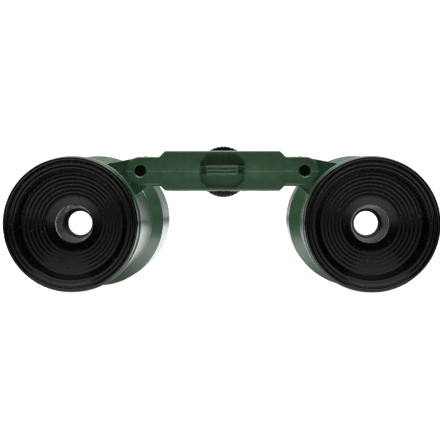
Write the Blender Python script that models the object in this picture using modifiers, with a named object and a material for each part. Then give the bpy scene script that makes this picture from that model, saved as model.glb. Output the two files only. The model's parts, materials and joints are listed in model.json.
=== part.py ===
"""Toy binoculars: two barrels that fold on a two-piece bridge, with one focus wheel.

Metres. +X points to the right barrel seen from the eyepieces, +Y from the eyepieces to the
objectives, +Z up. The origin is on the ground under the middle of the object. Three empties carry
the pieces: one on the bridge's middle line and one on each hinge axis. They all stand in the
plane of the eyecup rims, so a piece's own y is its distance behind the rims.
"""
import math

import bmesh
import bpy

# Driving dimensions
LENGTH = 0.105                # eyecup rim to objective rim
WIDE_RADIUS = 0.0191          # objective end of a barrel
TUBE_RADIUS = 0.0160          # narrow tube of a barrel
HINGE_X = 0.0214              # hinge axis from the middle line
ARM_LENGTH = 0.0212           # hinge axis to barrel axis
ARM_ANGLE = math.radians(40.2)   # barrel below its hinge at rest, from the horizontal
GAP = 0.0003                  # between pieces that touch
TRAVEL = 0.003                # how far the eyepieces run out when focusing
STEPS = 32                    # facets round a turned piece

BARREL_DX = ARM_LENGTH * math.cos(ARM_ANGLE)
BARREL_DZ = ARM_LENGTH * math.sin(ARM_ANGLE)
HINGE_Z = WIDE_RADIUS + BARREL_DZ

# Distances behind the eyecup rims
CUP_BACK = 0.0055
COLLAR_FRONT = CUP_BACK + GAP
COLLAR_BACK = 0.0098
FLARE_START = 0.061
FLARE_END = 0.070
BRIDGE_FRONT = 0.017
BRIDGE_BACK = 0.052
EAR = 0.003                   # thickness of a bridge ear
LUG_FRONT = BRIDGE_FRONT + EAR + GAP
LUG_BACK = 0.040
LENS_SEAT = 0.0985

# Barrel
COLLAR_RADIUS = 0.01725
BORE_RADIUS = 0.0145
WIDE_BORE = 0.0170
LENS_BORE = 0.0176
RIM_CHAMFER = 0.0004
LUG_RADIUS = 0.00415          # round end of the lug about the hinge
LUG_TOP = 0.0036              # lug's straight upper edge from the hinge axis
LUG_SPREAD = math.radians(29)    # upper edge spreads from the arm's line
LENS_EDGE = 0.0016
LENS_BULGE = 0.0018
RING_DEPTH = 0.0022
RING_BORE = 0.0158
RING_MOUTH = 0.0165

# Bridge
BRIDGE_HALF_HEIGHT = 0.0052
EAR_RADIUS = 0.0037
SHOULDER_IN = 0.0149          # the thick middle ends here
SHOULDER_OUT = 0.0164         # and has come down to the ears' height here
END_WALL_OUT = 0.0165
END_WALL_IN = 0.0150
WALL = 0.0014
FRONT_WALL = 0.0035
BACK_WALL = 0.0025
EDGE_ROUND = 0.0005
DISH_HALF = (0.0054, 0.0043)
DISH_CORNER = 0.0018
DISH_DEPTH = 0.0012
BOSS_PLACES = [(x, y) for y in (0.0240, 0.0350) for x in (-0.0110, 0.0110)]
BOSS_RADIUS = 0.0023

# Hinges
PIN_RADIUS = 0.0014
PIN_BORE = PIN_RADIUS + GAP
PIN_RECESS = 0.0008

# Focus drive
WHEEL_RADIUS = 0.0069
WHEEL_WIDTH = 0.008
WHEEL_MIDDLE = 0.0345
WHEEL_TEETH = 36
WHEEL_GROOVE = 0.0003
SPINDLE_RADIUS = 0.0015
SPINDLE_BORE = SPINDLE_RADIUS + GAP
SPINDLE_ENDS = (0.0195, 0.0510)
YOKE_THICK = 0.0016
YOKE_HALF_HEIGHT = 0.0015
YOKE_MIDDLE = 0.0460
EYE_RADIUS = 0.0032           # round the hinge pin, on yoke and arms
FORK_CHEEK = 0.0013
ARM_THICK = YOKE_THICK + 2 * (GAP + FORK_CHEEK)
ARM_HALF_WIDTH = 0.0016
SLOT_HALF_WIDTH = ARM_HALF_WIDTH + 0.0004
SLOT_ENDS = (LUG_BACK + GAP, BRIDGE_BACK - EAR - GAP)

# Eyepiece
DRAW_RADIUS = BORE_RADIUS - GAP
DRAW_BORE = 0.0132
DRAW_BACK = 0.0495
CUP_RADIUS = 0.0169
CUP_NECK = DRAW_BORE - GAP
FUNNEL_TOP = (0.0127, 0.0040)    # radius and depth of the first step
FUNNEL_STEPS = 6
STEP_IN = 0.00097
STEP_DOWN = 0.0007
STEP_RISER = 0.00045
EYE_HOLE = 0.00485
CELL_FRONT = 0.0115
CELL_BACK = 0.0243

# Colours as linear red, green, blue, then roughness and metallic
GREEN_PLASTIC = ((0.026, 0.059, 0.029), 0.30, 0.0)
BLACK_PLASTIC = ((0.007, 0.007, 0.008), 0.38, 0.0)
BLACK_METAL = ((0.012, 0.012, 0.013), 0.35, 0.8)
STEEL = ((0.42, 0.42, 0.43), 0.32, 1.0)
CLEAR_PLASTIC = ((0.90, 0.93, 0.95), 0.03, 0.0)


def clear_scene():
    for old in list(bpy.data.objects):
        bpy.data.objects.remove(old, do_unlink=True)


def make_collection(name):
    collection = bpy.data.collections.new(name)
    bpy.context.scene.collection.children.link(collection)
    return collection


def make_empty(name, x):
    empty = bpy.data.objects.new(name, None)
    empty.empty_display_size = 0.01
    empty.location = (x, -LENGTH / 2, HINGE_Z)
    PARTS.objects.link(empty)
    return empty


def finish(obj, name, look):
    colour, roughness, metallic = look
    material = bpy.data.materials.new(name + "_finish")
    material.use_nodes = True
    shader = material.node_tree.nodes["Principled BSDF"]
    shader.inputs["Base Color"].default_value = (*colour, 1.0)
    shader.inputs["Roughness"].default_value = roughness
    shader.inputs["Metallic"].default_value = metallic
    obj.data.materials.clear()
    obj.data.materials.append(material)


def as_part(obj, parent, look, x=0.0, z=0.0):
    """Put a finished sub-part in the object's own collection."""
    PARTS.objects.link(obj)
    obj.parent = parent
    obj.location = (x, obj.location.y, z)
    obj.data.shade_smooth()
    obj.data.set_sharp_from_angle(angle=math.radians(35))
    finish(obj, obj.name, look)
    return obj


def as_tool(obj, parent, x=0.0, z=0.0):
    """Put a cutter, or a shape that is joined on, in the tools' collection."""
    TOOLS.objects.link(obj)
    obj.parent = parent
    obj.location = (x, obj.location.y, z)
    obj.hide_render = True
    obj.display_type = "WIRE"
    return obj


def combine(obj, tool, operation):
    modifier = obj.modifiers.new(operation.lower(), "BOOLEAN")
    modifier.operation = operation
    modifier.solver = "EXACT"
    modifier.object = tool
    return obj


def cut(obj, *tools):
    for tool in tools:
        combine(obj, tool, "DIFFERENCE")
    return obj


def join(obj, tool):
    return combine(obj, tool, "UNION")


def turned(name, profile, steps=STEPS, along_z=False):
    """Turn (radius, distance) points about Y, or about Z. The outer side comes first."""
    mesh = bpy.data.meshes.new(name)
    on_axis = profile[0][0] == 0.0
    count = len(profile)
    edges = [(i, i + 1) for i in range(count - 1)]
    if not on_axis:
        edges.append((count - 1, 0))
    mesh.from_pydata([(radius, 0.0, distance) for radius, distance in profile], edges, [])
    obj = bpy.data.objects.new(name, mesh)
    if not along_z:
        obj.rotation_euler.x = -math.pi / 2
    screw = obj.modifiers.new("turn", "SCREW")
    screw.axis = "Z"
    screw.steps = steps
    screw.render_steps = steps
    screw.use_merge_vertices = True
    screw.merge_threshold = 0.00001
    screw.use_smooth_shade = True
    return obj


def rod(name, radius, start, end, steps=16):
    """A plain cylinder along Y."""
    return turned(name, [(0.0, end), (radius, end), (radius, start), (0.0, start)], steps)


def block(name, low, high):
    """A box between two corners."""
    mesh = bpy.data.meshes.new(name)
    cube = bmesh.new()
    bmesh.ops.create_cube(cube, size=1.0)
    for vertex in cube.verts:
        for axis in range(3):
            middle = (low[axis] + high[axis]) / 2
            vertex.co[axis] = middle + vertex.co[axis] * (high[axis] - low[axis])
    cube.to_mesh(mesh)
    cube.free()
    return bpy.data.objects.new(name, mesh)


def plate(name, outline, start, end):
    """A flat (x, z) outline given thickness along Y."""
    curve = bpy.data.curves.new(name, "CURVE")
    curve.dimensions = "2D"
    curve.fill_mode = "BOTH"
    curve.extrude = (end - start) / 2
    spline = curve.splines.new("POLY")
    spline.points.add(len(outline) - 1)
    for point, (x, z) in zip(spline.points, outline):
        point.co = (x, -z, 0.0, 1.0)
    spline.use_cyclic_u = True
    shape = bpy.data.objects.new(name + "_outline", curve)
    bpy.context.scene.collection.objects.link(shape)
    graph = bpy.context.evaluated_depsgraph_get()
    mesh = bpy.data.meshes.new_from_object(shape.evaluated_get(graph))
    bpy.data.objects.remove(shape, do_unlink=True)
    solid = bmesh.new()
    solid.from_mesh(mesh)
    bmesh.ops.remove_doubles(solid, verts=solid.verts, dist=0.00001)
    for level in (-curve.extrude, curve.extrude):
        cap = [face for face in solid.faces
               if all(abs(vertex.co.z - level) < 0.00001 for vertex in face.verts)]
        bmesh.ops.delete(solid, geom=cap, context="FACES")
    bmesh.ops.holes_fill(solid, edges=solid.edges, sides=0)
    bmesh.ops.recalc_face_normals(solid, faces=solid.faces)
    solid.to_mesh(mesh)
    solid.free()
    mesh.name = name
    obj = bpy.data.objects.new(name, mesh)
    obj.rotation_euler.x = -math.pi / 2
    obj.location.y = (start + end) / 2
    return obj


def upright_rods(name, places, radius, low, high, steps=12):
    """Cylinders along Z at a list of (x, y) places, as one tool."""
    mesh = bpy.data.meshes.new(name)
    rods = bmesh.new()
    for x, y in places:
        made = bmesh.ops.create_cone(rods, cap_ends=True, segments=steps, radius1=radius,
                                     radius2=radius, depth=high - low)
        bmesh.ops.translate(rods, verts=made["verts"], vec=(x, y, (low + high) / 2))
    rods.to_mesh(mesh)
    rods.free()
    return bpy.data.objects.new(name, mesh)


def arc(centre, radius, start, end, steps):
    """Points on a circle from one angle to another, in degrees, ends included."""
    points = []
    for i in range(steps + 1):
        angle = math.radians(start + (end - start) * i / steps)
        points.append((centre[0] + radius * math.cos(angle), centre[1] + radius * math.sin(angle)))
    return points


def hinge_name(side):
    return "left" if side < 0 else "right"


# Barrels

def barrel_outside():
    """The barrel's outer profile, from the objective rim to the collar."""
    profile = [(0.0, LENGTH), (WIDE_RADIUS - RIM_CHAMFER, LENGTH),
               (WIDE_RADIUS, LENGTH - RIM_CHAMFER)]
    flare_points = 6
    for i in range(flare_points, -1, -1):
        part = i / flare_points
        radius = TUBE_RADIUS + (WIDE_RADIUS - TUBE_RADIUS) * part ** 2.2
        profile.append((radius, FLARE_START + (FLARE_END - FLARE_START) * part))
    profile.append((TUBE_RADIUS, COLLAR_BACK))
    profile.append((COLLAR_RADIUS, COLLAR_BACK))
    profile.append((COLLAR_RADIUS, COLLAR_FRONT + RIM_CHAMFER))
    profile.append((COLLAR_RADIUS - RIM_CHAMFER, COLLAR_FRONT))
    profile.append((0.0, COLLAR_FRONT))
    return profile


def barrel_bore():
    """The barrel's inner profile, running past both ends."""
    past = 0.002
    return [(0.0, LENGTH + past), (LENS_BORE, LENGTH + past), (LENS_BORE, LENS_SEAT),
            (WIDE_BORE, LENS_SEAT), (WIDE_BORE, FLARE_END + 0.001), (BORE_RADIUS, FLARE_START),
            (BORE_RADIUS, COLLAR_FRONT - past), (0.0, COLLAR_FRONT - past)]


def lug_outline(side):
    """The hinge lug, about the hinge axis: a round end, a spreading top edge, a parallel lower edge."""
    toward_barrel = math.degrees(-ARM_ANGLE)
    top_direction = toward_barrel + math.degrees(LUG_SPREAD)
    corner = math.degrees(math.acos(LUG_TOP / LUG_RADIUS))
    round_end = arc((0.0, 0.0), LUG_RADIUS, top_direction + 90 + corner,
                    toward_barrel + 270, 10)
    reach = ARM_LENGTH - 0.006
    foot = (round_end[-1][0] + reach * math.cos(-ARM_ANGLE),
            round_end[-1][1] + reach * math.sin(-ARM_ANGLE))
    run = 0.0185
    direction = math.radians(top_direction)
    head = (round_end[0][0] + run * math.cos(direction), round_end[0][1] + run * math.sin(direction))
    return [(side * x, z) for x, z in round_end + [foot, head]]


def barrel(side, hinge):
    """A barrel shell with its collar, flare and hinge lug."""
    name = hinge_name(side)
    shell = turned(name + "_barrel", barrel_outside())
    x = side * BARREL_DX
    as_part(shell, hinge, GREEN_PLASTIC, x, -BARREL_DZ)
    lug = as_tool(plate(name + "_lug", lug_outline(side), LUG_FRONT, LUG_BACK), hinge)
    bore = as_tool(turned(name + "_bore", barrel_bore()), hinge, x, -BARREL_DZ)
    pin_hole = as_tool(rod(name + "_lug_hole", PIN_BORE, LUG_FRONT - GAP, LUG_BACK + GAP), hinge)
    slot = block(name + "_arm_slot", (-SLOT_HALF_WIDTH, SLOT_ENDS[0], 0.0),
                 (SLOT_HALF_WIDTH, SLOT_ENDS[1], TUBE_RADIUS + 0.002))
    slot.rotation_euler.y = side * (ARM_ANGLE - math.pi / 2)
    as_tool(slot, hinge, x, -BARREL_DZ)
    join(shell, lug)
    cut(shell, bore, pin_hole, slot)
    return shell


def objective(side, hinge):
    """The objective lens and the ring that holds it."""
    name = hinge_name(side)
    edge = LENS_BORE - GAP
    back = LENS_SEAT + GAP
    front = back + LENS_EDGE
    rings = 3
    lens_profile = [(0.0, front + LENS_BULGE)]
    for i in range(1, rings + 1):
        part = i / rings
        lens_profile.append((edge * part, front + LENS_BULGE * (1 - part ** 2)))
    for i in range(rings, 0, -1):
        part = i / rings
        lens_profile.append((edge * part, back - LENS_BULGE * (1 - part ** 2)))
    lens_profile.append((0.0, back - LENS_BULGE))
    x = side * BARREL_DX
    as_part(turned(name + "_objective_lens", lens_profile), hinge, CLEAR_PLASTIC, x, -BARREL_DZ)
    ring_back = front + 2 * GAP
    ring_front = ring_back + RING_DEPTH
    ring_profile = [(edge, ring_front), (edge, ring_back), (RING_BORE, ring_back),
                    (RING_BORE, ring_back + RING_DEPTH / 2), (RING_MOUTH, ring_front)]
    as_part(turned(name + "_objective_ring", ring_profile), hinge, BLACK_PLASTIC, x, -BARREL_DZ)


# Eyepieces

def eyecup_profile():
    """A rounded lip, a wall, six steps down to the eye hole, and the neck behind them."""
    back = CELL_FRONT - GAP
    profile = [(EYE_HOLE, back), (0.0066, back), (CUP_NECK, 0.0074), (CUP_NECK, CUP_BACK),
               (CUP_RADIUS, CUP_BACK), (CUP_RADIUS, 0.0005), (0.0165, 0.0),
               (0.0160, 0.0), (0.0153, 0.0007), (0.0139, 0.0018)]
    radius, depth = FUNNEL_TOP
    for _ in range(FUNNEL_STEPS):
        profile.append((radius, depth))
        profile.append((radius, depth + STEP_RISER))
        radius -= STEP_IN
        depth += STEP_DOWN
    profile.append((radius, depth))
    profile.append((radius, depth + STEP_RISER))
    profile.append((EYE_HOLE, 0.0100))
    return profile


def cell_profile():
    """The eye lens's seat, and the tapered tube behind it that ends in a stop ring."""
    return [(0.0051, CELL_BACK), (0.0062, 0.0132), (CUP_NECK, 0.0132), (CUP_NECK, CELL_FRONT),
            (0.0059, CELL_FRONT), (0.0059, 0.0129), (0.0049, 0.0129), (0.00407, 0.0235),
            (0.0035, 0.0235), (0.0035, CELL_BACK)]


def eye_lens_profile():
    """Flat on the eye's side, hollow on the far side."""
    return [(0.0, 0.0121), (0.0030, 0.0122), (0.0056, 0.0126), (0.0056, 0.0118), (0.0, 0.0118)]


def eyepiece(side, hinge):
    """The draw tube with its eyecup, eye lens and cell."""
    name = hinge_name(side)
    x = side * BARREL_DX
    tube = [(DRAW_RADIUS, DRAW_BACK), (DRAW_RADIUS, COLLAR_FRONT), (DRAW_BORE, COLLAR_FRONT),
            (DRAW_BORE, DRAW_BACK)]
    as_part(turned(name + "_draw_tube", tube), hinge, BLACK_PLASTIC, x, -BARREL_DZ)
    as_part(turned(name + "_eyecup", eyecup_profile(), 28), hinge, BLACK_PLASTIC, x, -BARREL_DZ)
    as_part(turned(name + "_eye_cell", cell_profile(), 28), hinge, BLACK_PLASTIC, x, -BARREL_DZ)
    as_part(turned(name + "_eye_lens", eye_lens_profile(), 24), hinge, CLEAR_PLASTIC, x, -BARREL_DZ)


# Bridge

def bridge_outline():
    """The bridge's end view: thick middle, shoulders, round ears about the hinges."""
    right_top = [(SHOULDER_IN, BRIDGE_HALF_HEIGHT), (SHOULDER_OUT, EAR_RADIUS)]
    right_bottom = [(x, -z) for x, z in reversed(right_top)]
    right = right_top + arc((HINGE_X, 0.0), EAR_RADIUS, 90, -90, 10) + right_bottom
    return right + [(-x, -z) for x, z in right]


def bridge_tools(bridge):
    """The hollows that both shells share."""
    past = 0.002
    tools = [block("cavity", (-END_WALL_IN, BRIDGE_FRONT + FRONT_WALL, WALL - BRIDGE_HALF_HEIGHT),
                   (END_WALL_IN, BRIDGE_BACK - BACK_WALL, BRIDGE_HALF_HEIGHT - WALL))]
    dish_x, dish_z = DISH_HALF
    dish = [(dish_x, dish_z - DISH_CORNER), (dish_x - DISH_CORNER, dish_z)]
    dish += [(-x, z) for x, z in reversed(dish)]
    dish += [(-x, -z) for x, z in dish]
    tools.append(plate("dish", dish, BRIDGE_FRONT - past, BRIDGE_FRONT + DISH_DEPTH))
    half_chord = math.sqrt(WHEEL_RADIUS ** 2 - (BRIDGE_HALF_HEIGHT - WALL) ** 2) + 0.0006
    window = WHEEL_WIDTH / 2 + 0.0008
    tools.append(block("wheel_window", (-half_chord, WHEEL_MIDDLE - window, -WHEEL_RADIUS),
                       (half_chord, WHEEL_MIDDLE + window, WHEEL_RADIUS)))
    tools.append(rod("spindle_bore", SPINDLE_BORE, SPINDLE_ENDS[0] - GAP, SPINDLE_ENDS[1] + GAP))
    for side in (-1, 1):
        name = hinge_name(side)
        inner = sorted((side * END_WALL_OUT, side * (HINGE_X + 2 * EAR_RADIUS)))
        tools.append(block(name + "_lug_space",
                           (inner[0], BRIDGE_FRONT + EAR, -2 * EAR_RADIUS),
                           (inner[1], BRIDGE_BACK - EAR, 2 * EAR_RADIUS)))
        door = sorted((side * (END_WALL_IN - past), side * (END_WALL_OUT + past)))
        half = YOKE_THICK / 2 + 0.0005
        tools.append(block(name + "_yoke_window",
                           (door[0], YOKE_MIDDLE - TRAVEL - half, -YOKE_HALF_HEIGHT - 0.0004),
                           (door[1], YOKE_MIDDLE + half, YOKE_HALF_HEIGHT + 0.0004)))
        hole = rod(name + "_ear_hole", PIN_BORE, BRIDGE_FRONT - past, BRIDGE_BACK + past)
        hole.location.x = side * HINGE_X
        tools.append(hole)
    for tool in tools:
        as_tool(tool, bridge, tool.location.x)
    return tools


def bridge_shell(name, up, bridge, tools):
    """One half of the bridge. The halves meet at the seam through the hinge axes."""
    shell = plate(name, bridge_outline(), BRIDGE_FRONT, BRIDGE_BACK)
    as_part(shell, bridge, GREEN_PLASTIC)
    edge = shell.modifiers.new("edges", "BEVEL")
    edge.width = EDGE_ROUND
    edge.segments = 2
    edge.limit_method = "ANGLE"
    edge.angle_limit = math.radians(60)
    far = 0.03
    heights = sorted((up * GAP / 2, -up * far))
    other_half = block(name + "_other_half", (-far, 0.0, heights[0]), (far, LENGTH, heights[1]))
    cut(shell, as_tool(other_half, bridge), *tools)
    boss_ends = sorted((up * GAP / 2, up * (BRIDGE_HALF_HEIGHT - WALL / 2)))
    bosses = as_tool(upright_rods(name + "_bosses", BOSS_PLACES, BOSS_RADIUS, *boss_ends), bridge)
    join(shell, bosses)
    if up > 0:
        cut(shell, as_tool(upright_rods("pilot_holes", BOSS_PLACES, 0.0012, -0.001, 0.0034), bridge))
    else:
        floor = -BRIDGE_HALF_HEIGHT - 0.001
        cut(shell, as_tool(upright_rods("screw_holes", BOSS_PLACES, 0.0012, floor, 0.001), bridge))
        head_seat = -BRIDGE_HALF_HEIGHT + 0.0019
        cut(shell, as_tool(upright_rods("head_holes", BOSS_PLACES, 0.0019, floor, head_seat), bridge))
    return shell


def bridge_screws(bridge):
    """Four screws from below that clamp the two shells."""
    head_low = -BRIDGE_HALF_HEIGHT + 0.0002
    head_high = head_low + 0.0014
    profile = [(0.0, 0.0030), (0.0009, 0.0030), (0.0009, head_high), (0.0016, head_high),
               (0.0016, head_low + 0.0003), (0.0013, head_low), (0.0, head_low)]
    for number, (x, y) in enumerate(BOSS_PLACES, start=1):
        screw = turned(f"bridge_screw_{number}", profile, 12, along_z=True)
        screw.location.y = y
        as_part(screw, bridge, STEEL, x)


def strap_lug(bridge):
    """An arched bar across the dish, that a neck strap would pass behind."""
    half = 0.0013
    top = 0.0140
    under = 0.0154
    foot = BRIDGE_FRONT - GAP
    outline = [(-0.0059, foot), (-0.0040, top), (0.0040, top), (0.0059, foot),
               (0.0047, foot), (0.0035, under), (-0.0035, under), (-0.0047, foot)]
    lug = plate("strap_lug", outline, -half, half)
    lug.rotation_euler.x = math.pi
    lug.location.y = 0.0
    as_part(lug, bridge, GREEN_PLASTIC)


# Hinges and focus drive

def hinge_pin(side, bridge):
    pin = rod(hinge_name(side) + "_hinge_pin", PIN_RADIUS, BRIDGE_FRONT + PIN_RECESS,
              BRIDGE_BACK - PIN_RECESS)
    as_part(pin, bridge, BLACK_METAL, side * HINGE_X)


def focus_wheel(bridge):
    """The knurled wheel, on the spindle."""
    outline = []
    for i in range(WHEEL_TEETH * 2):
        radius = WHEEL_RADIUS - (i % 2) * WHEEL_GROOVE
        angle = math.pi * i / WHEEL_TEETH + math.pi / 2
        outline.append((radius * math.cos(angle), radius * math.sin(angle)))
    half = WHEEL_WIDTH / 2
    wheel = plate("focus_wheel", outline, WHEEL_MIDDLE - half, WHEEL_MIDDLE + half)
    as_part(wheel, bridge, BLACK_PLASTIC)
    past = half + 0.001
    hole = rod("wheel_hole", SPINDLE_BORE, WHEEL_MIDDLE - past, WHEEL_MIDDLE + past)
    cut(wheel, as_tool(hole, bridge))


def focus_spindle(bridge):
    """A rod with a coarse thread behind the wheel."""
    front, back = SPINDLE_ENDS
    profile = [(0.0, back), (SPINDLE_RADIUS, back)]
    thread_end = 0.0492
    pitch = 0.0014
    for i in range(6):
        y = thread_end - i * pitch
        profile.append((SPINDLE_RADIUS, y))
        profile.append((SPINDLE_RADIUS - 0.0003, y - pitch / 2))
    profile.append((SPINDLE_RADIUS, thread_end - 6 * pitch))
    profile.append((SPINDLE_RADIUS, front))
    profile.append((0.0, front))
    as_part(turned("focus_spindle", profile, 16), bridge, STEEL)


def focus_yoke(bridge):
    """The nut on the spindle with a crossbar that ends in an eye round each hinge pin."""
    waist = math.degrees(math.asin(YOKE_HALF_HEIGHT / EYE_RADIUS))
    right = arc((HINGE_X, 0.0), EYE_RADIUS, 180 - waist, waist - 180, 12)
    outline = right + [(-x, -z) for x, z in right]
    front = YOKE_MIDDLE - YOKE_THICK / 2
    back = YOKE_MIDDLE + YOKE_THICK / 2
    yoke = plate("focus_yoke", outline, front, back)
    as_part(yoke, bridge, BLACK_METAL)
    half = ARM_THICK / 2
    nut = rod("yoke_nut", 0.0033, YOKE_MIDDLE - half, YOKE_MIDDLE + half)
    join(yoke, as_tool(nut, bridge))
    cut(yoke, as_tool(rod("nut_hole", SPINDLE_BORE, 0.042, 0.050), bridge))
    for side in (-1, 1):
        eye_hole = rod(hinge_name(side) + "_yoke_hole", PIN_BORE, 0.042, 0.050)
        cut(yoke, as_tool(eye_hole, bridge, side * HINGE_X))


def focus_arm(side, hinge):
    """A fork round the hinge pin and the yoke's eye, reaching through the barrel to the draw tube."""
    name = hinge_name(side)
    direction = -ARM_ANGLE
    waist = math.degrees(math.asin(ARM_HALF_WIDTH / EYE_RADIUS))
    middle = math.degrees(direction)
    outline = arc((0.0, 0.0), EYE_RADIUS, middle + waist, middle + 360 - waist, 12)
    reach = ARM_LENGTH - DRAW_RADIUS - GAP
    along = (math.cos(direction), math.sin(direction))
    across = (-along[1], along[0])
    for hand in (-1, 1):
        outline.append((reach * along[0] + hand * ARM_HALF_WIDTH * across[0],
                        reach * along[1] + hand * ARM_HALF_WIDTH * across[1]))
    outline = [(side * x, z) for x, z in outline]
    half = ARM_THICK / 2
    arm = plate(name + "_focus_arm", outline, YOKE_MIDDLE - half, YOKE_MIDDLE + half)
    as_part(arm, hinge, BLACK_METAL)
    inner = YOKE_THICK / 2 + GAP
    fork = rod(name + "_fork_space", EYE_RADIUS + GAP, YOKE_MIDDLE - inner, YOKE_MIDDLE + inner)
    hole = rod(name + "_arm_hole", PIN_BORE, 0.042, 0.050)
    cut(arm, as_tool(fork, hinge), as_tool(hole, hinge))


clear_scene()
PARTS = make_collection("toy_binoculars")
TOOLS = make_collection("toy_binoculars_tools")
BRIDGE = make_empty("bridge_frame", 0.0)

SHARED_TOOLS = bridge_tools(BRIDGE)
bridge_shell("bridge_upper_shell", 1, BRIDGE, SHARED_TOOLS)
bridge_shell("bridge_lower_shell", -1, BRIDGE, SHARED_TOOLS)
bridge_screws(BRIDGE)
strap_lug(BRIDGE)
focus_wheel(BRIDGE)
focus_spindle(BRIDGE)
focus_yoke(BRIDGE)
for SIDE in (-1, 1):
    HINGE = make_empty(hinge_name(SIDE) + "_hinge", SIDE * HINGE_X)
    hinge_pin(SIDE, BRIDGE)
    barrel(SIDE, HINGE)
    objective(SIDE, HINGE)
    eyepiece(SIDE, HINGE)
    focus_arm(SIDE, HINGE)
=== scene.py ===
# %% [markdown]
# # Toy binoculars, built to look real
#
# The object is a pair of green moulded toy binoculars. Two barrels fold on a flat two-piece
# bridge, and one knurled wheel in the bridge pushes both eyepieces in and out. A packed
# engineering model already fixes every size, hinge and slide. This lesson puts finely shaped
# pieces in the same places, gives each one the finish of its real material, and lights them.
#
# Lengths are in millimetres inside the lesson and become metres when a mesh is made. A depth is
# a distance behind the plane of the eyecup rims, because that's how such a part is drawn.

import json
import math

import bmesh
import bpy
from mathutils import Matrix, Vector


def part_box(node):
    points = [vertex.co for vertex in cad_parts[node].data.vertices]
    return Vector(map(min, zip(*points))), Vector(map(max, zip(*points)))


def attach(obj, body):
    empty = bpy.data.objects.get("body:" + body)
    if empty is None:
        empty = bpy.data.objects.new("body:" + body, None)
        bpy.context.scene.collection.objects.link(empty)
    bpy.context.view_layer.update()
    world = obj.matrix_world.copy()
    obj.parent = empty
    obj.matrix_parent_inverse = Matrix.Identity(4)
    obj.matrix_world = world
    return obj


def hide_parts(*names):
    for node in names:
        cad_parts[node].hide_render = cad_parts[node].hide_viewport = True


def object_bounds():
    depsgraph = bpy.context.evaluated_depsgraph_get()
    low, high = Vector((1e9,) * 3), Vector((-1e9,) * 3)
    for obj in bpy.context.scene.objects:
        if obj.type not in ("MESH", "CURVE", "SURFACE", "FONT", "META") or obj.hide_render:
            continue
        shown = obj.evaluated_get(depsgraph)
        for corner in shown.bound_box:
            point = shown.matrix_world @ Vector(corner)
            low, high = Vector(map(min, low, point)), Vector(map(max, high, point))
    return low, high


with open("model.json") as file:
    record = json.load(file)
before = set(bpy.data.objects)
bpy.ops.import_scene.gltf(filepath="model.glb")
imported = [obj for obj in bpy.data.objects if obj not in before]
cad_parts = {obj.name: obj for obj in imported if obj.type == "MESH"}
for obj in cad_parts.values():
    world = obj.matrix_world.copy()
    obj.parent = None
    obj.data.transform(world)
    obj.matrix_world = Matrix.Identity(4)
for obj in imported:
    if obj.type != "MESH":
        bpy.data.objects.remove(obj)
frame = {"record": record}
CAD_LOW, CAD_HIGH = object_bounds()
MM = 0.001
BODIES = frame["record"]["behaviour"]["bodies"]
BODY_OF = {node: body for body, nodes in BODIES.items() for node in nodes}
print("bodies:", ", ".join(BODIES))
print("box in mm:", [round(side / MM, 1) for side in CAD_HIGH - CAD_LOW])

# %% [markdown]
# ## Where everything is
#
# Nothing is placed by eye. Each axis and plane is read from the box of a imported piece: the
# eyecups give the two optical axes and the rim plane, and the hinge pins give the hinge axes.
# The right side mirrors the left, so most shapes are drawn once with side -1 or 1.

# %% Read the axes and planes
SIDES = {"left": -1, "right": 1}


def middle(node):
    low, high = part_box(node)
    return (low + high) / 2 / MM


def size(node):
    low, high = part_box(node)
    return (high - low) / MM


RIM_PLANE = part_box("left_eyecup")[0].y / MM
AXIS_X = middle("right_eyecup").x
AXIS_Z = middle("right_eyecup").z
HINGE_X = middle("right_hinge_pin").x
HINGE_Z = middle("right_hinge_pin").z
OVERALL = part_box("left_barrel")[1].y / MM - RIM_PLANE
WIDE_RADIUS = AXIS_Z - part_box("left_barrel")[0].z / MM
ARM_LENGTH = math.hypot(AXIS_X - HINGE_X, HINGE_Z - AXIS_Z)
ARM_ANGLE = math.atan2(HINGE_Z - AXIS_Z, AXIS_X - HINGE_X)
print(f"optical axes at x +-{AXIS_X:.2f}, z {AXIS_Z:.2f}; barrels {OVERALL:.1f} long")
print(f"hinges at x +-{HINGE_X:.2f}, z {HINGE_Z:.2f}")
print(f"arm {ARM_LENGTH:.2f} long at {math.degrees(ARM_ANGLE):.1f} degrees")

# %% [markdown]
# ## Camera
#
# The view is from the eyepieces, a little to the right of the middle and just above the optical
# axes, so one looks straight down both eyecups and along the barrels. A long lens keeps the far
# ends of the barrels nearly as large as the near ones. The camera's place is given from the rim
# plane and the optical axes, the two things it looks at.

# %% Place the camera
camera_data = bpy.data.cameras.new("camera")
camera_data.sensor_width = 36.0
camera_data.lens = 123.24
camera_data.clip_start = 0.01
camera_data.clip_end = 30.0
camera = bpy.data.objects.new("camera", camera_data)
bpy.context.scene.collection.objects.link(camera)
bpy.context.scene.camera = camera
CAMERA_RIGHT = 7.685
CAMERA_AWAY = 373.84
CAMERA_ABOVE = 5.875
camera.location = Vector((CAMERA_RIGHT, RIM_PLANE - CAMERA_AWAY, AXIS_Z + CAMERA_ABOVE)) * MM
camera.rotation_euler = (math.radians(90 - 0.7305), 0.0, math.radians(1.217))
print("camera at", [round(c, 4) for c in camera.location])

# %% [markdown]
# ## Studio
#
# Glossy plastic shows what surrounds it. Small products are often shot on a white light table
# with a white sweep behind, and a darker room on the camera's side. Faces that look at the
# camera then stay deep green, and surfaces that run away from it mirror the sweep as pale bands.
# The sweep is brightest at the horizon and fades higher up. The floor is a plain pale sheet. For
# reflections it is white and glowing only in a strip under the object, and dark to the sides.
# Seen straight on, or through the lenses, floor and world are plain white. The Light Path node
# tells those rays from reflected ones.

# %% Helpers for node trees
def node_in(tree, kind, **settings):
    node = tree.nodes.new(kind)
    for key, value in settings.items():
        setattr(node, key, value)
    return node


def new_material(name):
    material = bpy.data.materials.new(name)
    material.use_nodes = True
    tree = material.node_tree
    return material, tree, tree.nodes["Principled BSDF"]


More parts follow.
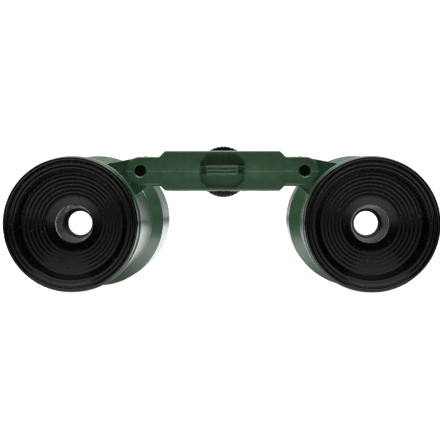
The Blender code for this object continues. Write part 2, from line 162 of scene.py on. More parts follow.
def arithmetic(tree, operation, *values):
    """Each value is a number or a socket that carries one."""
    step = node_in(tree, "ShaderNodeMath", operation=operation)
    for socket, value in zip(step.inputs, values):
        if isinstance(value, float):
            socket.default_value = value
        else:
            tree.links.new(value, socket)
    return step.outputs[0]


def remap(tree, value, low, high, out_low, out_high, change="LINEAR"):
    step = node_in(tree, "ShaderNodeMapRange", interpolation_type=change)
    step.inputs["From Min"].default_value = low
    step.inputs["From Max"].default_value = high
    step.inputs["To Min"].default_value = out_low
    step.inputs["To Max"].default_value = out_high
    tree.links.new(value, step.inputs["Value"])
    return step.outputs["Result"]


print("node helpers ready")

# %% Make the floor
FLOOR_SIZE = 8.0
FLOOR_GLOW = 0.25
FLOOR_GLOW_SEEN = 1.0
FLOOR_GLOW_FAR = 1.35
STRIP = (0.05, 0.11)
floor_mesh = bpy.data.meshes.new("floor")
sheet = bmesh.new()
bmesh.ops.create_grid(sheet, x_segments=1, y_segments=1, size=FLOOR_SIZE / 2)
sheet.to_mesh(floor_mesh)
sheet.free()
floor = bpy.data.objects.new("floor", floor_mesh)
bpy.context.scene.collection.objects.link(floor)
floor.location.z = CAD_LOW.z - 0.0002
floor_material, floor_tree, floor_shader = new_material("light_table")
floor_shader.inputs["Roughness"].default_value = 0.9
floor_shader.inputs["Specular IOR Level"].default_value = 0.1
floor_shader.inputs["Emission Color"].default_value = (1.0, 1.0, 1.0, 1.0)


def across_floor(axis, near, far, at_near, at_far):
    """A value that changes smoothly with the distance from the middle, along one axis."""
    place = node_in(floor_tree, "ShaderNodeTexCoord")
    split = node_in(floor_tree, "ShaderNodeSeparateXYZ")
    floor_tree.links.new(place.outputs["Object"], split.inputs[0])
    way = split.outputs[axis]
    if axis == "X":
        way = arithmetic(floor_tree, "ABSOLUTE", way)
    return remap(floor_tree, way, near, far, at_near, at_far, "SMOOTHSTEP")


seen = node_in(floor_tree, "ShaderNodeLightPath")
beyond_lens = across_floor("Y", 0.04, 0.05, 0.0, 1.0)
through_lens = arithmetic(floor_tree, "MULTIPLY", seen.outputs["Is Transmission Ray"], beyond_lens)
straight_on = arithmetic(floor_tree, "MAXIMUM", seen.outputs["Is Camera Ray"], through_lens)
near_middle = arithmetic(floor_tree, "MULTIPLY", across_floor("X", *STRIP, 1.0, 0.0),
                         across_floor("Y", -0.16, -0.06, 0.3, 1.0))
sheet_white = arithmetic(floor_tree, "MAXIMUM", straight_on, near_middle)
sheet_tone = node_in(floor_tree, "ShaderNodeMix", data_type="RGBA")
sheet_tone.inputs["A"].default_value = (0.10, 0.10, 0.10, 1.0)
sheet_tone.inputs["B"].default_value = (0.86, 0.86, 0.87, 1.0)
floor_tree.links.new(sheet_white, sheet_tone.inputs["Factor"])
floor_tree.links.new(sheet_tone.outputs["Result"], floor_shader.inputs["Base Color"])
farther = across_floor("Y", 0.10, 0.40, FLOOR_GLOW_SEEN, FLOOR_GLOW_FAR)
seen_glow = arithmetic(floor_tree, "MULTIPLY", straight_on, farther)
soft_glow = across_floor("X", *STRIP, FLOOR_GLOW, 0.0)
glow = arithmetic(floor_tree, "MAXIMUM", seen_glow, soft_glow)
floor_tree.links.new(glow, floor_shader.inputs["Emission Strength"])
floor.data.materials.append(floor_material)
print("floor at z", round(floor.location.z, 5))

# %% Light the object
world = bpy.data.worlds.new("studio")
bpy.context.scene.world = world
world.use_nodes = True
sky = world.node_tree
sky.nodes.clear()
direction = node_in(sky, "ShaderNodeTexCoord")
parts = node_in(sky, "ShaderNodeSeparateXYZ")
sky.links.new(direction.outputs["Generated"], parts.inputs[0])
behind = remap(sky, parts.outputs["Y"], 0.72, 0.96, 0.04, 0.68, "SMOOTHSTEP")
higher = remap(sky, parts.outputs["Z"], 0.0, 0.10, 1.0, 0.28, "SMOOTHSTEP")
dim_light = node_in(sky, "ShaderNodeBackground")
dim_light.inputs["Color"].default_value = (0.94, 0.92, 1.0, 1.0)
sky.links.new(arithmetic(sky, "MULTIPLY", behind, higher), dim_light.inputs["Strength"])
white = node_in(sky, "ShaderNodeBackground")
white.inputs["Color"].default_value = (1.0, 1.0, 1.0, 1.0)
white.inputs["Strength"].default_value = 1.35
ray = node_in(sky, "ShaderNodeLightPath")
backwards = arithmetic(sky, "GREATER_THAN", parts.outputs["Y"], 0.3)
through = arithmetic(sky, "MULTIPLY", ray.outputs["Is Transmission Ray"], backwards)
straight = arithmetic(sky, "MAXIMUM", ray.outputs["Is Camera Ray"], through)
choose = node_in(sky, "ShaderNodeMixShader")
sky.links.new(straight, choose.inputs["Fac"])
sky.links.new(dim_light.outputs[0], choose.inputs[1])
sky.links.new(white.outputs[0], choose.inputs[2])
surface = node_in(sky, "ShaderNodeOutputWorld")
sky.links.new(choose.outputs[0], surface.inputs["Surface"])


def soft_box(name, place, aim, width, height, power):
    light = bpy.data.lights.new(name, "AREA")
    light.shape = "RECTANGLE"
    light.size = width
    light.size_y = height
    light.energy = power
    holder = bpy.data.objects.new(name, light)
    bpy.context.scene.collection.objects.link(holder)
    holder.location = place
    toward = Vector(aim) - Vector(place)
    holder.rotation_euler = toward.to_track_quat("-Z", "Y").to_euler()
    return holder


OBJECT_MIDDLE = (0.0, 0.0, AXIS_Z * MM)
soft_box("overhead", (0.0, 0.0, 0.70), OBJECT_MIDDLE, 0.8, 0.8, 8.5)
soft_box("overhead_behind", (0.0, 0.65, 0.45), OBJECT_MIDDLE, 0.9, 0.4, 3.0)
bpy.context.scene.view_settings.view_transform = "Standard"

# %% [markdown]
# ## Shaping helpers
#
# Nearly every piece of a pair of binoculars is either turned (round about an optical axis) or a
# plate (a flat outline with thickness). Two builders cover them. Real mouldings have no razor
# edges, and it's the small round on an edge that catches the light. So both builders take their
# outline through one function that swaps each corner for a short arc of the radius asked for.
# Rounding the drawing before making the solid keeps the mesh clean and even.

# %% Round the corners of a drawing
def rounded(corners, closed=True, pieces=5):
    """Corners are (a, b) or (a, b, round) in millimetres; gives plain (a, b) points."""
    points = []
    count = len(corners)
    for i, corner in enumerate(corners):
        here = Vector(corner[:2])
        radius = corner[2] if len(corner) > 2 else 0.0
        at_end = not closed and i in (0, count - 1)
        if radius == 0.0 or at_end:
            points.append(tuple(here))
            continue
        back = Vector(corners[i - 1][:2]) - here
        ahead = Vector(corners[(i + 1) % count][:2]) - here
        half = back.angle(ahead) / 2
        reach = min(radius / math.tan(half), 0.48 * back.length, 0.48 * ahead.length)
        centre = here + (back.normalized() + ahead.normalized()).normalized() * (reach / math.cos(half))
        start = here + back.normalized() * reach - centre
        end = here + ahead.normalized() * reach - centre
        turn = math.atan2(start.x * end.y - start.y * end.x, start.dot(end))
        for k in range(pieces + 1):
            angle = turn * k / pieces
            points.append((centre.x + start.x * math.cos(angle) - start.y * math.sin(angle),
                           centre.y + start.x * math.sin(angle) + start.y * math.cos(angle)))
    kept = []
    for point in points:
        if not kept or math.dist(point, kept[-1]) > 0.002:
            kept.append(point)
    return kept


def arc(radius, start, end, pieces, centre=(0.0, 0.0)):
    """Points on a circle between two angles in degrees, ends included."""
    angles = [math.radians(start + (end - start) * k / pieces) for k in range(pieces + 1)]
    return [(centre[0] + radius * math.cos(a), centre[1] + radius * math.sin(a)) for a in angles]


print("a square with rounds has", len(rounded([(0, 0, 1), (9, 0, 1), (9, 9, 1), (0, 9, 1)])), "points")

# %% [markdown]
# `turned` lays rings of points round an axis along Y and joins each ring to the next. A drawing
# that starts and ends on the axis is a solid; one that closes on itself is a ring. An optional
# `flute` changes the radius by angle, which makes a knurled rim or a screw thread. `plate` draws
# an outline twice and joins the two; a second outline gives it sloping walls.

# %% Turned pieces and plates
def keep_mesh(name, shape):
    bmesh.ops.remove_doubles(shape, verts=shape.verts, dist=0.0000005)
    bmesh.ops.recalc_face_normals(shape, faces=shape.faces)
    mesh = bpy.data.meshes.new(name)
    shape.to_mesh(mesh)
    shape.free()
    piece = bpy.data.objects.new(name, mesh)
    bpy.context.scene.collection.objects.link(piece)
    return piece


def turned(name, drawing, x=0.0, z=0.0, steps=160, flute=None, start_angle=0.0):
    """Turn (radius, depth) points about the line through (x, z)."""
    shape = bmesh.new()
    rings = []
    for radius, depth in drawing:
        y = (RIM_PLANE + depth) * MM
        if radius < 0.0001:
            rings.append([shape.verts.new((x * MM, y, z * MM))])
            continue
        ring = []
        for step in range(steps):
            angle = start_angle + 2 * math.pi * step / steps
            reach = flute(radius, depth, angle) if flute else radius
            ring.append(shape.verts.new(((x + reach * math.cos(angle)) * MM, y,
                                         (z + reach * math.sin(angle)) * MM)))
        rings.append(ring)
    pairs = list(zip(rings, rings[1:]))
    if len(rings[0]) > 1:
        pairs.append((rings[-1], rings[0]))
    for near, far in pairs:
        for step in range(steps):
            after = (step + 1) % steps
            corners = [near[step % len(near)], near[after % len(near)],
                       far[after % len(far)], far[step % len(far)]]
            shape.faces.new(list(dict.fromkeys(corners)))
    return keep_mesh(name, shape)


def plate(name, outline, front, back, x=0.0, z=0.0, back_outline=None):
    """Give an (x, z) outline about a centre its thickness, from one depth to another."""
    shape = bmesh.new()
    faces = []
    for depth, drawing in ((front, outline), (back, back_outline or outline)):
        y = (RIM_PLANE + depth) * MM
        faces.append([shape.verts.new(((x + a) * MM, y, (z + b) * MM)) for a, b in drawing])
    for loop in faces:
        shape.faces.new(loop)
    near, far = faces
    for i in range(len(near)):
        j = (i + 1) % len(near)
        shape.faces.new([near[i], near[j], far[j], far[i]])
    return keep_mesh(name, shape)


def block(name, low, high):
    """A box between two (x, depth, z) corners."""
    outline = [(low[0], low[2]), (high[0], low[2]), (high[0], high[2]), (low[0], high[2])]
    return plate(name, outline, low[1], high[1])


# %% [markdown]
# Holes and joins are Boolean modifiers, applied at once, so that each piece ends as one plain
# closed mesh and no cutter stays in the scene. Bevels go on before the cuts, where the edges are
# simple. `finish_piece` shades a piece smooth but for its true edges, gives it its finish, hangs it
# on the body it moves with and hides the imported piece it stands for. `even_shading` weighs
# each normal by face area, so a large flat stays flat right up to the small round beside it.

# %% Cut, join and finish
def settle(piece):
    """Turn a piece's modifiers into plain mesh."""
    graph = bpy.context.evaluated_depsgraph_get()
    made = bpy.data.meshes.new_from_object(piece.evaluated_get(graph))
    piece.modifiers.clear()
    piece.data = made
    made.name = piece.name


def change(piece, tools, operation):
    for tool in tools:
        step = piece.modifiers.new(operation.lower(), "BOOLEAN")
        step.operation = operation
        step.solver = "EXACT"
        step.object = tool
    settle(piece)
    for tool in tools:
        bpy.data.objects.remove(tool, do_unlink=True)
    return piece


def cut(piece, *tools):
    return change(piece, tools, "DIFFERENCE")


def join(piece, *tools):
    return change(piece, tools, "UNION")


def ease_edges(piece, width, pieces=3, sharper_than=50.0):
    """A small round on every edge sharper than an angle."""
    bevel = piece.modifiers.new("edges", "BEVEL")
    bevel.width = width * MM
    bevel.segments = pieces
    bevel.limit_method = "ANGLE"
    bevel.angle_limit = math.radians(sharper_than)
    settle(piece)
    return piece


def open_edges(piece):
    check = bmesh.new()
    check.from_mesh(piece.data)
    count = sum(1 for edge in check.edges if len(edge.link_faces) != 2)
    check.free()
    return count


def even_shading(mesh, limit):
    """Shade large flats truly flat, and let the small rounds beside them carry the turn."""
    nearly = math.cos(math.radians(limit))
    meeting = [[] for _ in mesh.vertices]
    for face in mesh.polygons:
        for corner in face.vertices:
            meeting[corner].append((face.normal.copy(), face.area ** 1.5))
    normals = []
    for face in mesh.polygons:
        for corner in face.vertices:
            total = face.normal * 1e-12
            for normal, weight in meeting[corner]:
                if normal.dot(face.normal) > nearly:
                    total = total + normal * weight
            normals.append(total.normalized())
    mesh.normals_split_custom_set(normals)


def finish_piece(piece, node, material, flat_faces=False, crease=30.0):
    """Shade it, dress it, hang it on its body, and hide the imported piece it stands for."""
    piece.data.materials.clear()
    piece.data.materials.append(material)
    piece.data.shade_smooth()
    piece.data.set_sharp_from_angle(angle=math.radians(crease))
    if flat_faces:
        even_shading(piece.data, crease + 8.0)
    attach(piece, BODY_OF[node])
    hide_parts(node)
    print(f"{piece.name}: {len(piece.data.polygons)} faces, {open_edges(piece)} open edges")
    return piece


# %% [markdown]
# ## Finishes
#
# Moulded plastic isn't one flat colour. Under the gloss there are slow shifts of tone where the
# melt cooled, a very fine grain from the mould's steel, hairline scuffs that make the gloss
# uneven, and paler convex edges, partly rubbed wear and partly a painted highlight of the light
# the rounds catch. One function builds this for the green and the black plastics, with amounts
# that differ. The patterns are read in object space in metres, so a scale of 1000 means features
# about a millimetre across.

# %% A moulded plastic
def noise(tree, coordinates, scale, detail=3.0, roughness=0.5, stretch=None):
    texture = node_in(tree, "ShaderNodeTexNoise")
    texture.inputs["Scale"].default_value = scale
    texture.inputs["Detail"].default_value = detail
    texture.inputs["Roughness"].default_value = roughness
    source = coordinates.outputs["Object"]
    if stretch:
        mapping = node_in(tree, "ShaderNodeMapping")
        mapping.inputs["Scale"].default_value = stretch
        mapping.inputs["Rotation"].default_value = (0.3, 0.2, 0.5)
        tree.links.new(source, mapping.inputs["Vector"])
        source = mapping.outputs["Vector"]
    tree.links.new(source, texture.inputs["Vector"])
    return texture.outputs["Fac"]


def blend_colours(tree, amount, first, second):
    """first and second are colours, or sockets that carry one."""
    mix = node_in(tree, "ShaderNodeMix", data_type="RGBA")
    tree.links.new(amount, mix.inputs["Factor"])
    for socket, colour in ((mix.inputs["A"], first), (mix.inputs["B"], second)):
        if isinstance(colour, tuple):
            socket.default_value = (*colour, 1.0)
        else:
            tree.links.new(colour, socket)
    return mix.outputs["Result"]


def moulded_plastic(name, tone, paler, gloss, grain, rub_and_highlight_amount, specks=0.0, grain_scale=5200.0):
    """tone and paler are linear colours; gloss is (smoothest, roughest) roughness."""
    material, tree, shader = new_material(name)
    coordinates = node_in(tree, "ShaderNodeTexCoord")
    tide = remap(tree, noise(tree, coordinates, 70.0), 0.35, 0.65, 0.0, 1.0)
    colour = blend_colours(tree, tide, tone, paler)
    # Convex edges, found by pointiness, turn paler: partly rubbed wear, partly a painted highlight of
    # the light that rounded edges catch.
    edges = node_in(tree, "ShaderNodeNewGeometry").outputs["Pointiness"]
    patchy = remap(tree, noise(tree, coordinates, 420.0, detail=5.0), 0.3, 0.6, 0.25, 1.0)
    rub_and_highlight = arithmetic(tree, "MULTIPLY", remap(tree, edges, 0.515, 0.58, 0.0, rub_and_highlight_amount), patchy)
    rub_and_highlight_tone = tuple(min(1.0, 2.2 * c + 0.02) for c in paler)
    colour = blend_colours(tree, rub_and_highlight, colour, rub_and_highlight_tone)
    if specks:
        dust = remap(tree, noise(tree, coordinates, 1500.0, detail=1.0), 0.715, 0.76, 0.0, specks)
        colour = blend_colours(tree, dust, colour, (0.11, 0.11, 0.12))
    tree.links.new(colour, shader.inputs["Base Color"])
    scuffs = noise(tree, coordinates, 900.0, detail=4.0, stretch=(1.0, 0.06, 1.0))
    smear = noise(tree, coordinates, 160.0, detail=2.0)
    uneven = arithmetic(tree, "ADD", arithmetic(tree, "MULTIPLY", scuffs, 0.6),
                        arithmetic(tree, "MULTIPLY", smear, 0.4))
    tree.links.new(remap(tree, uneven, 0.35, 0.65, *gloss), shader.inputs["Roughness"])
    fine = noise(tree, coordinates, grain_scale, detail=2.0)
    bump = node_in(tree, "ShaderNodeBump")
    bump.inputs["Strength"].default_value = grain
    bump.inputs["Distance"].default_value = 0.00004
    tree.links.new(fine, bump.inputs["Height"])
    tree.links.new(bump.outputs["Normal"], shader.inputs["Normal"])
    shader.inputs["IOR"].default_value = 1.5
    return material, shader


GREEN_PLASTIC, green_shader = moulded_plastic(
    "green_plastic", (0.0430, 0.108, 0.0530), (0.0460, 0.114, 0.0560), (0.23, 0.27), 0.03, 0.6)
green_shader.inputs["Coat Weight"].default_value = 0.15
green_shader.inputs["Coat Roughness"].default_value = 0.12
print("green plastic ready")

# %% [markdown]
# The eyecups are a satin black moulding with a drier, slightly coarser grain and a little dust.
# The wheel and the inner tubes are black plastic too, smoother. The two steels are metals: the
# screws are bright zinc with a turned grain, and the pins and the drive are blackened.

# %% Blacks, clear plastic and steel
EYECUP_BLACK, _ = moulded_plastic(
    "eyecup_black", (0.0030, 0.0030, 0.0033), (0.0042, 0.0042, 0.0046), (0.15, 0.21), 0.02, 0.05,
    specks=0.5, grain_scale=4200.0)
WHEEL_BLACK, _ = moulded_plastic(
    "wheel_black", (0.0035, 0.0035, 0.0038), (0.0050, 0.0050, 0.0055), (0.24, 0.32), 0.10, 0.08)
INNER_BLACK, _ = moulded_plastic(
    "inner_black", (0.0060, 0.0060, 0.0068), (0.0080, 0.0080, 0.0088), (0.28, 0.34), 0.03, 0.05)


def metal(name, tone, gloss, along=(1.0, 0.04, 1.0)):
    material, tree, shader = new_material(name)
    coordinates = node_in(tree, "ShaderNodeTexCoord")
    strokes = noise(tree, coordinates, 3200.0, detail=3.0, stretch=along)
    tarnish = remap(tree, noise(tree, coordinates, 500.0), 0.35, 0.7, 0.0, 1.0)
    darker = tuple(0.7 * c for c in tone)
    tree.links.new(blend_colours(tree, tarnish, tone, darker), shader.inputs["Base Color"])
    tree.links.new(remap(tree, strokes, 0.3, 0.7, *gloss), shader.inputs["Roughness"])
    bump = node_in(tree, "ShaderNodeBump")
    bump.inputs["Strength"].default_value = 0.15
    bump.inputs["Distance"].default_value = 0.00003
    tree.links.new(strokes, bump.inputs["Height"])
    tree.links.new(bump.outputs["Normal"], shader.inputs["Normal"])
    shader.inputs["Metallic"].default_value = 1.0
    return material


ZINC_STEEL = metal("zinc_steel", (0.50, 0.50, 0.51), (0.22, 0.42))
BLACK_STEEL = metal("black_steel", (0.020, 0.020, 0.022), (0.28, 0.44))

CLEAR_PLASTIC, clear_tree, clear_shader = new_material("clear_plastic")
clear_shader.inputs["Base Color"].default_value = (0.97, 0.98, 0.99, 1.0)
clear_shader.inputs["Transmission Weight"].default_value = 1.0
clear_shader.inputs["IOR"].default_value = 1.49
clear_coordinates = node_in(clear_tree, "ShaderNodeTexCoord")
clear_smear = noise(clear_tree, clear_coordinates, 300.0, detail=3.0)
clear_haze = remap(clear_tree, clear_smear, 0.4, 0.8, 0.0, 0.05)
clear_tree.links.new(clear_haze, clear_shader.inputs["Roughness"])
print("finishes:", [m.name for m in bpy.data.materials if m.users or m.use_nodes])

# %% [markdown]
# ## Barrels
#
# A barrel is one green moulding: a collar behind the eyecup, a narrow tube, a flare, and a wide
# end for the objective lens. It could be joined from cylinders, but a turned drawing gives the
# flare and every edge its round in one go. The drawing runs down the outside and back up the
# bore. The flare is a straight cone that meets the wide end at a slightly rounded edge.

# %% Draw the barrel
TUBE_RADIUS = 16.0
COLLAR_RADIUS = 17.25
COLLAR_FRONT = 5.8
COLLAR_BACK = 9.8
FLARE_START = 64.0
FLARE_END = 70.0
BORE = 14.5
WIDE_BORE = 17.0
LENS_BORE = 17.6
LENS_SEAT = 98.5


def barrel_drawing():
    drawing = [(LENS_BORE, OVERALL, 0.35), (WIDE_RADIUS, OVERALL, 0.55)]
    bends = 14
    for k in range(bends, -1, -1):
        share = k / bends
        radius = TUBE_RADIUS + (WIDE_RADIUS - TUBE_RADIUS) * share
        edge = 0.35 if k == bends else 0.0
        drawing.append((radius, FLARE_START + (FLARE_END - FLARE_START) * share, edge))
    drawing += [(TUBE_RADIUS, COLLAR_BACK, 0.35), (COLLAR_RADIUS, COLLAR_BACK, 0.3),
                (COLLAR_RADIUS, COLLAR_FRONT, 0.45), (BORE, COLLAR_FRONT, 0.25),
                (BORE, FLARE_START - 1.5), (WIDE_BORE, FLARE_END + 1.0), (WIDE_BORE, LENS_SEAT, 0.15),
                (LENS_BORE, LENS_SEAT)]
    return rounded(drawing)


print("barrel drawing:", len(barrel_drawing()), "points")

# %% [markdown]
# Each barrel carries a lug, a flat plate that runs from the tube to the hinge. Its end is round
# about the pin, its lower edge is parallel to the arm, and its upper edge spreads towards the
# tube to make it stiff. It tapers a little towards the back, as a moulding must to leave its
# mould. The plate gets its eased edges first and is then joined to the turned shell. After that
# come the pin's hole, the slot for the focusing arm and, on the left tube only, a shallow slit. A
# gate mark, the small pip where the moulding was cut from its sprue, stays on the lug's face.

# %% Model the barrels
LUG_RADIUS = 4.15
LUG_TOP = 3.6
LUG_FRONT = 20.3
LUG_BACK = 40.0
LUG_SPREAD = 29.0
LUG_DRAFT = 1.1
LUG_EDGE = 18.5
PIN_RADIUS = 1.4
PIN_BORE = 1.7
SLOT_HALF = 2.0
SLOT_FRONT = 40.3
SLOT_BACK = 48.7
SLIT_DEPTH = 58.0
SLIT_HALF = 2.4
SLIT_SPAN = (20.6, 46.0)
SLIT_OUT = TUBE_RADIUS + 0.6
SLIT_IN = TUBE_RADIUS - 0.8


def lug_outline(side, radius=LUG_RADIUS):
    toward_barrel = -math.degrees(ARM_ANGLE)
    top = toward_barrel + LUG_SPREAD
    corner = math.degrees(math.acos(LUG_TOP / LUG_RADIUS))
    end = arc(LUG_RADIUS, top + 90 + corner, toward_barrel + 180, 24)
    end += arc(radius, toward_barrel + 180, toward_barrel + 270, 16)
    reach = ARM_LENGTH - 6.0
    foot = (end[-1][0] + reach * math.cos(-ARM_ANGLE), end[-1][1] + reach * math.sin(-ARM_ANGLE))
    rise = math.radians(top)
    head = (end[0][0] + LUG_EDGE * math.cos(rise), end[0][1] + LUG_EDGE * math.sin(rise))
    return [(side * a, b) for a, b in end + [foot, head]]


def barrel(side_name):
    side = SIDES[side_name]
    x, z = side * AXIS_X, AXIS_Z
    shell = turned(side_name + "_barrel_shell", barrel_drawing(), x, z, steps=144)
    lug = plate("lug", lug_outline(side), LUG_FRONT, LUG_BACK, side * HINGE_X, HINGE_Z,
                back_outline=lug_outline(side, LUG_RADIUS - LUG_DRAFT))
    ease_edges(lug, 0.12, pieces=2, sharper_than=60.0)
    inside = turned("inside", [(0, LUG_FRONT - 1), (BORE, LUG_FRONT - 1), (BORE, LUG_BACK + 1),
                               (0, LUG_BACK + 1)], x, z, steps=144)
    cut(lug, inside)
    join(shell, lug)
    hole = turned("hole", rounded([(0, LUG_FRONT - 1), (PIN_BORE + 0.9, LUG_FRONT - 1),
                                   (PIN_BORE, LUG_FRONT + 0.25), (PIN_BORE, LUG_BACK - 0.25),
                                   (PIN_BORE + 0.9, LUG_BACK + 1), (0, LUG_BACK + 1)]),
                  side * HINGE_X, HINGE_Z, steps=48)
    toward_hinge = Vector((side * (HINGE_X - AXIS_X), HINGE_Z - AXIS_Z)).normalized()
    across = Vector((-toward_hinge.y, toward_hinge.x))
    near, far = BORE - 1.5, TUBE_RADIUS + 2.0
    slot = [tuple(toward_hinge * r + across * w) for r, w in
            ((near, -SLOT_HALF), (far, -SLOT_HALF), (far, SLOT_HALF), (near, SLOT_HALF))]
    arm_slot = plate("slot", slot, SLOT_FRONT, SLOT_BACK, x, z)
    cut(shell, hole, arm_slot)
    if side < 0:
        cut(shell, plate("slit", arc(SLIT_OUT, *SLIT_SPAN, 16) + arc(SLIT_IN, *SLIT_SPAN[::-1], 16),
                         SLIT_DEPTH - SLIT_HALF, SLIT_DEPTH + SLIT_HALF, x, z))
    pip_place = Vector((side * HINGE_X, HINGE_Z)) + Vector((side * 2.85, -3.1))
    pip = turned("pip", [(0, LUG_FRONT + 0.2), (0.34, LUG_FRONT + 0.2), (0.32, LUG_FRONT - 0.05),
                         (0.2, LUG_FRONT - 0.17), (0, LUG_FRONT - 0.2)],
                 pip_place.x, pip_place.y, steps=20)
    join(shell, pip)
    return finish_piece(shell, side_name + "_barrel", GREEN_PLASTIC, flat_faces=True)


for side_name in SIDES:
    barrel(side_name)

# %% [markdown]
# ## Objective end
#
# The front lens of such a toy is a plain double-curved disc of clear plastic, dropped on a
# shoulder and held by a black ring with two spanner notches. The lens is real geometry with a
# refracting material, so that light goes through the tubes as it does in the hand.

# %% Objective lenses and rings
LENS_EDGE = LENS_BORE - 0.3
LENS_BULGE = 1.8
LENS_THICK = 1.6
RING_FRONT = 103.2


def dome(edge, bulge, flat_at, outward, rings=16):
    """Depths along a shallow dome, from the axis to the edge."""
    shares = [k / rings for k in range(rings + 1)]
    return [(edge * s, flat_at + outward * bulge * (1 - s * s)) for s in shares]


def objective(side_name):
    x, z = SIDES[side_name] * AXIS_X, AXIS_Z
    back = LENS_SEAT + 0.3
    front = back + LENS_THICK
    drawing = dome(LENS_EDGE, LENS_BULGE, front, 1) + dome(LENS_EDGE, LENS_BULGE, back, -1)[::-1]
    lens = turned(side_name + "_front_lens", drawing, x, z, steps=128)
    finish_piece(lens, side_name + "_objective_lens", CLEAR_PLASTIC)
    ring_back = front + 0.6
    ring = turned(side_name + "_lens_ring", rounded([
        (LENS_EDGE, RING_FRONT, 0.2), (LENS_EDGE, ring_back, 0.15), (15.8, ring_back, 0.15),
        (15.8, ring_back + 1.1, 0.2), (16.5, RING_FRONT, 0.2)]), x, z, steps=144)
    notches = [block("notch", (x + hand * 17.0 - 1.4, RING_FRONT - 0.9, z - 0.8),
                     (x + hand * 17.0 + 1.4, RING_FRONT + 1.0, z + 0.8)) for hand in (-1, 1)]
    cut(ring, *notches)
    finish_piece(ring, side_name + "_objective_ring", INNER_BLACK, flat_faces=True)


for side_name in SIDES:
    objective(side_name)

# %% [markdown]
# ## Eyecups
#
# The eyecup is what the viewer sees first. From outside in: a rounded lip that keeps the edge
# soft, a narrow groove, a thin ridge, a flat ledge and a steep wall, then a funnel of steps down
# to the eye hole. The steps break up stray light, and each shows as a thin arc where light from
# above or below catches its edge. A loop draws them, since they are all alike. 192 facets keep
# the big circle smooth.

# %% Eyecups
CUP_RADIUS = size("left_eyecup").x / 2
CUP_BACK = 5.5
CUP_NECK = 12.9
STEP_RADIUS = 11.8
STEP_DEPTH = 4.7
STEP_COUNT = 5
STEP_IN = 0.955
STEP_DROP = 0.7
STEP_ROUND = 0.24
EYE_HOLE = 4.85
EYE_HOLE_DEPTH = 9.0
CUP_END = 11.2


def eyecup_drawing():
    drawing = [(EYE_HOLE, CUP_END, 0.1), (6.6, CUP_END), (CUP_NECK, 7.4), (CUP_NECK, CUP_BACK),
               (CUP_RADIUS, CUP_BACK, 0.3), (CUP_RADIUS, 0.0, 0.5), (16.1, 0.0, 0.3),
               (16.0, 0.7, 0.12), (15.68, 0.7, 0.1), (15.58, 0.2, 0.14), (15.2, 0.2, 0.14),
               (15.05, 0.8, 0.2), (14.1, 0.8, 0.24), (13.7, 2.2, 0.4), (12.85, 4.1, 0.5),
               (12.75, STEP_DEPTH, 0.08)]
    radius, depth = STEP_RADIUS, STEP_DEPTH
    for _ in range(STEP_COUNT):
        drawing.append((radius, depth, STEP_ROUND))
        drawing.append((radius - 0.03, depth + STEP_DROP, 0.08))
        radius -= STEP_IN
        depth += STEP_DROP
    drawing.append((radius, depth, STEP_ROUND))
    drawing.append((radius - 0.03, depth + 0.45, 0.1))
    drawing.append((EYE_HOLE, EYE_HOLE_DEPTH, 0.15))
    return rounded(drawing, pieces=5)


for side_name, side in SIDES.items():
    cup = turned(side_name + "_cup", eyecup_drawing(), side * AXIS_X, AXIS_Z, steps=192)
    finish_piece(cup, side_name + "_eyecup", EYECUP_BLACK, flat_faces=True)

# %% [markdown]
# ## Inside the eyepiece
#
# Behind the eye hole sits the cell: a cup that holds the small eye lens, and a tapered tube that
# ends in a stop ring. The daylight that comes through the stop is the white disc that one sees.
# The cup, cell and lens slide together on a draw tube inside the barrel.

# %% Cells, eye lenses and draw tubes
CELL_FRONT = 11.5
CELL_BACK = 24.3
STOP_DEPTH = 23.5
STOP_RADIUS = 3.42
LIP_RADIUS = 4.12
LIP_DEPTH = 18.6
DRAW_RADIUS = BORE - 0.3
DRAW_BACK = 49.5


def eyepiece(side_name):
    x, z = SIDES[side_name] * AXIS_X, AXIS_Z
    cell = turned(side_name + "_cell", rounded([
        (5.1, CELL_BACK, 0.2), (6.2, 13.2), (CUP_NECK, 13.2, 0.15), (CUP_NECK, CELL_FRONT, 0.15),
        (5.9, CELL_FRONT, 0.1), (5.9, 12.9), (4.95, 12.9, 0.1), (LIP_RADIUS, LIP_DEPTH, 0.1),
        (4.55, LIP_DEPTH + 0.6, 0.1), (4.4, STOP_DEPTH, 0.1),
        (STOP_RADIUS, STOP_DEPTH, 0.12), (STOP_RADIUS, CELL_BACK, 0.1)]), x, z, steps=128)
    finish_piece(cell, side_name + "_eye_cell", INNER_BLACK, flat_faces=True)
    hollow = [(5.6 * k / 10, 12.25 + 0.25 * (k / 10) ** 2) for k in range(11)]
    lens = turned(side_name + "_lens", hollow + rounded([(5.6, 11.8, 0.1), (0.0, 11.8)], closed=False),
                  x, z, steps=96)
    finish_piece(lens, side_name + "_eye_lens", CLEAR_PLASTIC)
    tube = turned(side_name + "_draw_sleeve", rounded([
        (DRAW_RADIUS, DRAW_BACK, 0.2), (DRAW_RADIUS, COLLAR_FRONT, 0.2),
        (13.2, COLLAR_FRONT, 0.15), (13.2, DRAW_BACK, 0.2)]), x, z, steps=144)
    finish_piece(tube, side_name + "_draw_tube", INNER_BLACK, flat_faces=True)


for side_name in SIDES:
    eyepiece(side_name)

# %% [markdown]
# ## Bridge
#
# The bridge is two green half-shells that meet at mid-height, right through the hinge axes. Each
# half is a plate of the bridge's end view: a thick middle, a sloping shoulder, and a round ear
# about the hinge. The long outer edges get a generous round, and the edges along the seam a
# small one. The upper half's front is set back a hair from the lower's, so the seam shows as a
# fine lit line. Marking each edge with its own bevel weight lets one modifier do both. The
# hollows are cut afterwards: the room for the wheel, the lugs and the yoke, and a shallow
# eight-sided dish behind the strap bar.

